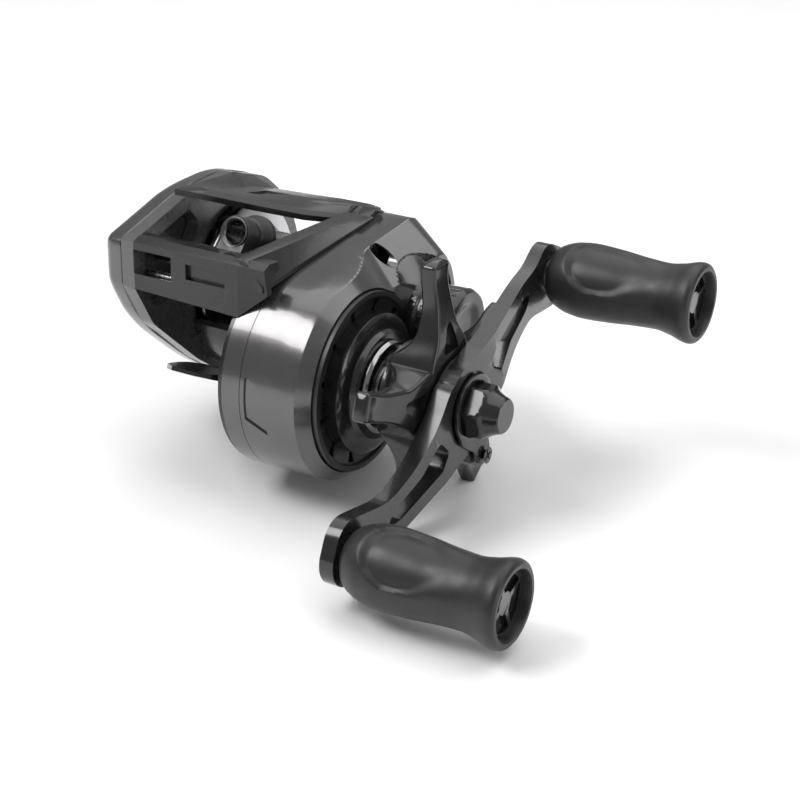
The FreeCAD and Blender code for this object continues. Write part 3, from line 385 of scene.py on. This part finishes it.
# ---------------------------------------------------------------- gear side cover
SPOOL_AXIS = (16.64, 15.22)
DRUM_R, SHOULDER_R, WALL = 21.3, 20.3, 0.85
COVER_SEAM, COVER_EDGE, COVER_FACE = -15.5, -8.0, -3.5
LIP_X, LIP_R = -0.3, 18.8
SEAM_POINT = (-17.3, 14.4)
SEAM_ANGLE = radians(30.1)
LIP_SLOPE = 1.15
SHOULDER_SLOPE = 1.45
BROW_X, BROW_INNER_R, KNOB_WELL_X = 0.4, 13.0, -3.4
LIP_CHAMFER = 0.15
LIP_BLEND, LIP_FILLET = 1.6, 0.4
WALL_RISE, EDGE_RISE = 5.6, 5.0
COVER_SIDES, COVER_ROWS = 420, 72
FACE_THICKNESS, ROOF_THICKNESS = 1.5, 0.9
HUB_HOLE_R, KNOB_HOLE_R = 8.35, 5.6
COVER_SCREWS = ((5.6, 25.6), (31.5, 20.2), (23.5, -3.5))
SCREW_HOLE_R, SCREW_HEAD_R, SCREW_SEAT_X = 1.05, 2.15, -7.9
PANEL = ((-14.4, 191), (-9.4, 196), (-9.4, 222), (-14.4, 215))
PANEL_DEPTH = 0.35
NECK = [(-5.0, 6.2), (0.4, 6.2), (0.6, 6.0), (0.6, 5.1), (7.9, 5.0), (8.0, 4.9), (8.0, 4.05), (4.4, 4.05),
        (4.4, 2.1), (-4.1, 2.1), (-4.1, 3.95), (-5.0, 3.95)]


def belt_distance(y, z):
    """Signed distance to the belt round the drive and spool axes."""
    length = sqrt(SPOOL_AXIS[0] ** 2 + SPOOL_AXIS[1] ** 2)
    ux, uz = SPOOL_AXIS[0] / length, SPOOL_AXIS[1] / length
    along, aside = y * ux + z * uz, abs(z * ux - y * uz)
    lean = (DRUM_R - SHOULDER_R) / length
    upright = sqrt(1 - lean * lean)
    where = along * upright - aside * lean
    if where < 0:
        return sqrt(y * y + z * z) - DRUM_R
    if where > upright * length:
        return sqrt((y - SPOOL_AXIS[0]) ** 2 + (z - SPOOL_AXIS[1]) ** 2) - SHOULDER_R
    return aside * upright + along * lean - DRUM_R


def cover_distance(y, z, blend=1.2):
    """Signed distance to the cover's outline: the belt cut off by the sloping seam, with soft corners."""
    seam = -sin(SEAM_ANGLE) * (y - SEAM_POINT[0]) + cos(SEAM_ANGLE) * (z - SEAM_POINT[1])
    belt = belt_distance(y, z)
    near = max(blend - abs(belt - seam), 0.0) / blend
    return max(belt, seam) + near * near * blend / 4


def outline_radius(angle, inset=0.0):
    low, high = 8.0, 60.0
    for _ in range(40):
        middle = (low + high) / 2
        inside = cover_distance(middle * cos(angle), middle * sin(angle)) < -inset
        low, high = (middle, high) if inside else (low, middle)
    return low


def cover_height(y, z):
    """Station along X of the outer face: lip round the drum, sloping shoulder, brow and the knob's well."""
    depth = -cover_distance(y, z)
    from_drive = sqrt(y * y + z * z)
    to_spool = sqrt((y - SPOOL_AXIS[0]) ** 2 + (z - SPOOL_AXIS[1]) ** 2)
    lip = LIP_X - LIP_SLOPE * max(0.0, from_drive - LIP_R - LIP_CHAMFER)
    shoulder = COVER_EDGE + min(SHOULDER_SLOPE * depth, BROW_X - COVER_EDGE)
    blend = max(LIP_BLEND - abs(lip - shoulder), 0.0) / LIP_BLEND
    height = max(lip, shoulder) + blend * blend * LIP_FILLET
    wall = COVER_EDGE + WALL_RISE * max(depth, 0.0) + EDGE_RISE * smooth_step(depth, -0.1, 0.3)
    height = min(height, wall)
    well = 1 - smooth_step(to_spool, BROW_INNER_R - 0.8, BROW_INNER_R)
    return height + (KNOB_WELL_X - height) * well


def drum_patch(corners, r_in, r_out, steps=14):
    """Cutter that covers a patch of the drum; corners are (x, angle in degrees) of two edges."""
    (x0, a0), (x1, a1), (x2, a2), (x3, a3) = corners
    rings = []
    for i in range(steps + 1):
        t = i / steps
        row = []
        for x, a in ((x0 + (x3 - x0) * t, a0 + (a3 - a0) * t), (x1 + (x2 - x1) * t, a1 + (a2 - a1) * t)):
            turn = radians(a)
            row += [(x, r * cos(turn), r * sin(turn)) for r in ((r_in, r_out) if not row else (r_out, r_in))]
        rings.append([DESIGN @ Vector(point) for point in row])
    return rings_mesh("patch", rings)


def cover_shell():
    """Closed shell: up the outside, over the lip, across the face, and back along the inside."""
    angles = [2 * pi * i / COVER_SIDES for i in range(COVER_SIDES)]
    outer = [outline_radius(angle) for angle in angles]
    inner = [outline_radius(angle, WALL) for angle in angles]

    def row(radii, height, inset=0.0):
        points = []
        for angle, r in zip(angles, radii):
            y, z = (r - inset) * cos(angle), (r - inset) * sin(angle)
            x = height(y, z) if callable(height) else height
            points.append(DESIGN @ Vector((x, y, z)))
        return points

    rings = [row(outer, COVER_SEAM, 0.15), row(outer, COVER_SEAM + 0.15), row(outer, COVER_EDGE - 0.22),
             row(outer, COVER_EDGE)]
    for k in range(1, COVER_ROWS + 1):
        share = (k / COVER_ROWS) ** 1.1
        rings.append(row([LIP_R + (r - 0.02 - LIP_R) * (1 - share) for r in outer], cover_height))
    for r, drop, x in ((LIP_R - 0.02, 0.03, -0.6), (LIP_R - 0.05, 0.06, COVER_FACE + 0.2)):
        rings.append(row([r] * COVER_SIDES, lambda y, z: min(x, cover_height(y, z) - drop)))
    back = COVER_FACE - FACE_THICKNESS
    for r, x in ((LIP_R - 0.3, COVER_FACE), (17.5, COVER_FACE), (14.0, COVER_FACE), (HUB_HOLE_R, COVER_FACE),
                 (HUB_HOLE_R, back)):
        rings.append(row([min(r, edge_r - 0.4) for edge_r in outer], x))
    for share in (0.15, 0.3, 0.45, 0.6, 0.7, 0.8, 0.9, 1.0):
        rings.append(row([HUB_HOLE_R + (r - HUB_HOLE_R - 0.4) * share for r in inner],
                         lambda y, z: min(back, cover_height(y, z) - ROOF_THICKNESS)))
    rings.append(row(inner, COVER_EDGE - 1.0))
    rings.append(row(inner, COVER_SEAM))
    made = piece("gear_cover", loop_mesh("gear_cover", rings), "cover", "frame", "gear_side_cover")
    cutters = [rod("hole", SPOOL_AXIS, (-12.0, KNOB_HOLE_R), (4.0, KNOB_HOLE_R))]
    for spot in COVER_SCREWS:
        cutters.append(rod("counterbore", spot, (-20.0, SCREW_HOLE_R), (SCREW_SEAT_X, SCREW_HOLE_R),
                           (SCREW_SEAT_X, SCREW_HEAD_R), (6.0, SCREW_HEAD_R)))
    cutters.append(drum_patch(PANEL, DRUM_R - PANEL_DEPTH, DRUM_R + 2))
    carve(made, *cutters)
    add_island(made, turned("neck", SPOOL_AXIS, NECK))
    crease(made)


# ---------------------------------------------------------------- palm side plate
PALM_OUTLINE = [(-24.4, 16.6), (-9.4, 29.1), (4.6, 36.2), (16.64, 37.7), (28.0, 34.7), (36.1, 26.5),
                (39.1, 15.2), (36.1, 3.9), (27.9, -4.3), (18.0, -6.4), (7.0, -4.4), (-11.4, 1.2),
                (-20.4, 7.7)]
PALM_NOSE = radians(178)
PALM_SIDES, DOME_ROWS = 240, 18
PALM_SEAM, PALM_EDGE, PALM_TOP = -48.2, -50.4, -55.6
PALM_DOME = 0.34
DIAL_WELL_R, DIAL_WELL_X = 8.6, -54.95
PALM_CAVITY_R, PALM_CAVITY_X = 13.6, -54.2
BEARING_SEAT = [(-54.3, 5.0), (-49.2, 5.0), (-49.2, 4.0), (-54.3, 4.0)]


def edge_distance(angle):
    """Distance from the spool axis to the straight-sided outline in one direction."""
    reach = 0.0
    for (y0, z0), (y1, z1) in zip(PALM_OUTLINE, PALM_OUTLINE[1:] + PALM_OUTLINE[:1]):
        ay, az = y0 - SPOOL_AXIS[0], z0 - SPOOL_AXIS[1]
        ey, ez = y1 - y0, z1 - z0
        cross = cos(angle) * ez - sin(angle) * ey
        if abs(cross) > 1e-9:
            along = (ay * ez - az * ey) / cross
            where = (ay * sin(angle) - az * cos(angle)) / cross
            if along > 0 and -1e-6 <= where <= 1 + 1e-6:
                reach = max(reach, along)
    return reach


def palm_radius(angle):
    """The outline with its corners rounded off, except for the nose."""
    away = abs((angle - PALM_NOSE + pi) % (2 * pi) - pi)
    window = radians(1.5 + 9.0 * smooth_step(away, radians(6), radians(40)))
    samples = [edge_distance(angle + window * k / 4) for k in range(-4, 5)]
    return sum(samples) / len(samples)


def palm_shell():
    """Domed shell with a well for the brake dial outside and a round cavity inside."""
    angles = [2 * pi * i / PALM_SIDES for i in range(PALM_SIDES)]
    reach = [palm_radius(angle) for angle in angles]

    def outline_row(x, factor=1.0, inset=0.0):
        points = []
        for angle, far in zip(angles, reach):
            size = far * factor - inset
            y, z = SPOOL_AXIS[0] + size * cos(angle), SPOOL_AXIS[1] + size * sin(angle)
            points.append(DESIGN @ Vector((x, y, z)))
        return points

    rings = [outline_row(PALM_SEAM, inset=0.25), outline_row(PALM_SEAM - 0.2), outline_row(PALM_EDGE)]
    for i in range(1, DOME_ROWS + 1):
        turn = pi / 2 * i / DOME_ROWS
        rise = (PALM_TOP - PALM_EDGE) * sin(turn)
        rings.append(outline_row(PALM_EDGE + rise, 1 - PALM_DOME * (1 - cos(turn))))
    for x, r in ((PALM_TOP, DIAL_WELL_R + 0.15), (PALM_TOP + 0.1, DIAL_WELL_R), (DIAL_WELL_X, DIAL_WELL_R),
                 (DIAL_WELL_X, 4.0), (PALM_CAVITY_X, 4.0), (PALM_CAVITY_X, PALM_CAVITY_R),
                 (PALM_SEAM, PALM_CAVITY_R)):
        rings.append(ring(SPOOL_AXIS, x, lambda angle: r, PALM_SIDES))
    made = piece("palm_shell", loop_mesh("palm_shell", rings), "cover", "palm_plate", "palm_plate")
    add_island(made, turned("seat", SPOOL_AXIS, BEARING_SEAT))
    crease(made)


# ---------------------------------------------------------------- star and handle nut
STAR_PHASE = radians(43.5)
STAR_ARMS = 5
ARM_STEPS, ARM_CORNER = 46, 0.75
ARM_LOW = [(6.0, -7.4), (11.0, -6.2), (17.0, -3.1), (24.0, -2.5), (28.6, -2.9)]
ARM_HIGH = [(6.0, 8.0), (9.5, 7.4), (15.0, 4.6), (22.0, 3.1), (28.6, 2.9)]
ARM_FRONT = [(6.0, 20.1), (12.0, 19.9), (20.0, 18.6), (26.0, 17.6), (28.8, 17.7)]
ARM_BACK = [(6.0, 9.2), (10.2, 10.2), (12.0, 12.6), (15.0, 14.4), (20.0, 14.8), (26.0, 14.3), (28.8, 14.4)]
ARM_WINDOW = [(10.9, -2.6), (16.2, -0.9), (16.8, -0.4), (16.6, 0.6), (16.0, 1.2), (11.6, 3.0), (11.0, 2.6)]
HUB = [(9.0, 5.3), (9.0, 9.9), (9.4, 10.4), (14.6, 10.4), (17.4, 9.4), (20.0, 9.0), (20.2, 8.8), (20.2, 3.1),
       (13.2, 3.1), (13.2, 5.3)]


def star_arm(turn):
    """One blade: rounded cross-sections swept outwards from the hub."""
    rings = []
    for i in range(ARM_STEPS + 1):
        r = 7.0 + 21.8 * sin(pi / 2 * i / ARM_STEPS)
        tip = sqrt(max(0.0, 1 - smooth_step(r, 27.6, 28.81) ** 2))
        narrowing = 0.55 + 0.45 * tip
        low, high = between(r, ARM_LOW) * narrowing, between(r, ARM_HIGH) * narrowing
        back, front = between(r, ARM_BACK), between(r, ARM_FRONT)
        middle = (back + front) / 2
        half = (front - back) / 2 * (0.6 + 0.4 * tip)
        points = []
        for k, (w_sign, x_sign) in enumerate(((1, 1), (-1, 1), (-1, -1), (1, -1))):
            w_edge = high if w_sign > 0 else low
            for step in range(6):
                a = pi / 2 * (k + step / 5)
                w = w_edge - w_sign * ARM_CORNER + ARM_CORNER * cos(a)
                x = middle + x_sign * (half - ARM_CORNER) + ARM_CORNER * sin(a)
                y, z = r * cos(turn) - w * sin(turn), r * sin(turn) + w * cos(turn)
                points.append(DESIGN @ Vector((x, y, z)))
        rings.append(points)
    return rings_mesh("arm", rings)


def star():
    made = piece("star", turned("star", (0, 0), HUB, 96), "black", "star_drag", "star_drag")
    for i in range(STAR_ARMS):
        turn = STAR_PHASE + 2 * pi * i / STAR_ARMS
        window = [(r * cos(turn) - w * sin(turn), r * sin(turn) + w * cos(turn)) for r, w in ARM_WINDOW]
        blade = bpy.data.objects.new("blade", star_arm(turn))
        bpy.context.scene.collection.objects.link(blade)
        ends = [[DESIGN @ Vector((x, y, z)) for y, z in window] for x in (12.0, 25.0)]
        carve(blade, rings_mesh("window", ends))
        add_island(made, blade.data)
        bpy.data.objects.remove(blade)
    crease(made)


NUT_SIDES, NUT_ROWS = 96, 24
NUT_HALF_WIDTH = 4.95
NUT_FLANGE = [(23.5, 5.7), (23.5, 5.9), (24.3, 5.9), (24.4, 5.8)]
NUT_CONE = [(24.4, 5.65), (28.2, 5.6), (29.2, 4.7), (31.2, 3.75), (31.7, 3.6)]
NUT_BASE, NUT_HEIGHT, NUT_END, NUT_END_R = 24.4, 7.3, 32.0, 3.3


def nut():
    """Hexagon whose corners are turned down to a cone, with a flat round end."""
    def hexagon(angle):
        return NUT_HALF_WIDTH / cos((angle - HANDLE_ANGLE + pi / 6) % (pi / 3) - pi / 6)

    rings = [ring((0, 0), x, lambda angle: r, NUT_SIDES) for x, r in NUT_FLANGE]
    for i in range(NUT_ROWS + 1):
        x = NUT_BASE + NUT_HEIGHT * i / NUT_ROWS
        cone = between(x, NUT_CONE)
        rings.append(ring((0, 0), x, lambda angle: min(hexagon(angle), cone), NUT_SIDES))
    rings.append(ring((0, 0), NUT_END, lambda angle: NUT_END_R, NUT_SIDES))
    crease(piece("nut", rings_mesh("nut", rings), "black", "crank", "handle_nut"))


# ---------------------------------------------------------------- grips
GRIP_SIDES, GRIP_ROWS = 112, 84
GRIP_FACE, GRIP_END = 22.4, 55.0
GRIP_BODY = [(22.4, 4.9), (22.8, 5.6), (24.5, 6.7), (27.0, 7.5), (30.5, 7.85), (36.0, 7.6), (42.0, 7.05),
             (46.5, 6.85), (50.0, 7.4), (52.8, 8.2), (53.6, 8.3), (54.5, 8.1), (55.0, 7.5)]
GRIP_RECESS = [(55.0, 6.75), (54.4, 6.45), (51.1, 6.4), (51.1, 4.4), (47.6, 4.4), (47.6, 4.05), (44.6, 4.05),
               (44.6, 2.4), (25.4, 2.4), (25.4, 4.05), (22.4, 4.05)]
DISH_FACES = (radians(150), radians(330))
DISH_DEPTH = 0.85
DISH_HALF = [(26.2, 2.0), (27.4, 20.0), (29.0, 37.0), (33.4, 52.0), (37.5, 52.0), (42.0, 40.0), (48.0, 30.0)]


def grip_radius(x, angle):
    """Egg-ended paddle with a thumb dish on two sides; each dish fades out towards the grip's end."""
    r = between(x, GRIP_BODY)
    depth = DISH_DEPTH * smooth_step(x, 26.0, 29.0) * (1 - smooth_step(x, 38.0, 50.0))
    half = radians(between(x, DISH_HALF))
    soft = radians(5 + 30 * smooth_step(x, 34.0, 46.0))
    for face in DISH_FACES:
        turn = abs((angle - face + pi) % (2 * pi) - pi)
        r -= depth * (1 - smooth_step(turn, half - soft, half + soft / 3))
    return r


def grip(name, centre, body, node):
    rings = []
    for i in range(GRIP_ROWS + 1):
        x = GRIP_FACE + (GRIP_END - GRIP_FACE) * (0.5 - 0.5 * cos(pi * i / GRIP_ROWS))
        rings.append(ring(centre, x, lambda angle: grip_radius(x, angle), GRIP_SIDES))
    for x, r in GRIP_RECESS:
        rings.append(ring(centre, x, lambda angle: r, GRIP_SIDES))
    crease(piece(name, loop_mesh(name, rings), "grip", body, node))


cover_shell()
palm_shell()
star()
nut()
for side, reach in (("far", KNOB_REACH), ("near", -KNOB_REACH)):
    axis = (reach * cos(HANDLE_ANGLE), reach * sin(HANDLE_ANGLE))
    grip(f"{side}_grip", axis, f"{side}_knob", f"{side}_knob")


# ---------------------------------------------------------------- stage, light and camera
def floor():
    size = 3.0
    corners = [(-size, -size, 0), (size, -size, 0), (size, size, 0), (-size, size, 0)]
    mesh = bpy.data.meshes.new("floor")
    mesh.from_pydata(corners, [], [(0, 1, 2, 3)])
    made = bpy.data.objects.new("floor", mesh)
    bpy.context.scene.collection.objects.link(made)
    paint = finish_surface("studio_floor", (grey(0.93), grey(0.95)), (0.75, 0.8), 400, 0.02)
    mesh.materials.append(paint)


def softbox(name, direction, distance, size, power):
    """Area light that faces the reel from the given direction."""
    lamp = bpy.data.lights.new(name, "AREA")
    lamp.shape = "RECTANGLE"
    lamp.size, lamp.size_y = size
    lamp.energy = power
    made = bpy.data.objects.new(name, lamp)
    bpy.context.scene.collection.objects.link(made)
    away = Vector(direction).normalized()
    made.location = ORIGIN + away * distance
    made.rotation_mode = "QUATERNION"
    made.rotation_quaternion = away.to_track_quat("Z", "Y")


def camera():
    azimuth, elevation = radians(30.96), radians(25.16)
    aim = Vector((7.97, 2.77, 20.75)) * MM
    distance = 0.3603
    back = Vector((sin(azimuth) * cos(elevation), -cos(azimuth) * cos(elevation), sin(elevation)))
    lens = bpy.data.cameras.new("camera")
    lens.lens, lens.sensor_width = 80.95, 36.0
    lens.clip_start, lens.clip_end = 0.01, 20.0
    made = bpy.data.objects.new("camera", lens)
    bpy.context.scene.collection.objects.link(made)
    made.location = aim + back * distance
    made.rotation_mode = "QUATERNION"
    made.rotation_quaternion = back.to_track_quat("Z", "Y")
    bpy.context.scene.camera = made


def world(strength):
    made = bpy.data.worlds.new("studio")
    made.use_nodes = True
    sky = made.node_tree.nodes["Background"]
    sky.inputs["Color"].default_value = (1, 1, 1, 1)
    sky.inputs["Strength"].default_value = strength
    bpy.context.scene.world = made


floor()
world(0.32)
softbox("key", (-0.47, -0.43, 0.78), 0.7, (0.40, 0.28), 3.2)
softbox("top", (0.1, 0.35, 0.92), 0.8, (1.3, 1.0), 6.0)
softbox("right", (0.95, -0.1, 0.35), 0.8, (0.2, 0.5), 1.2)
camera()
bpy.context.scene.view_settings.view_transform = "Standard"
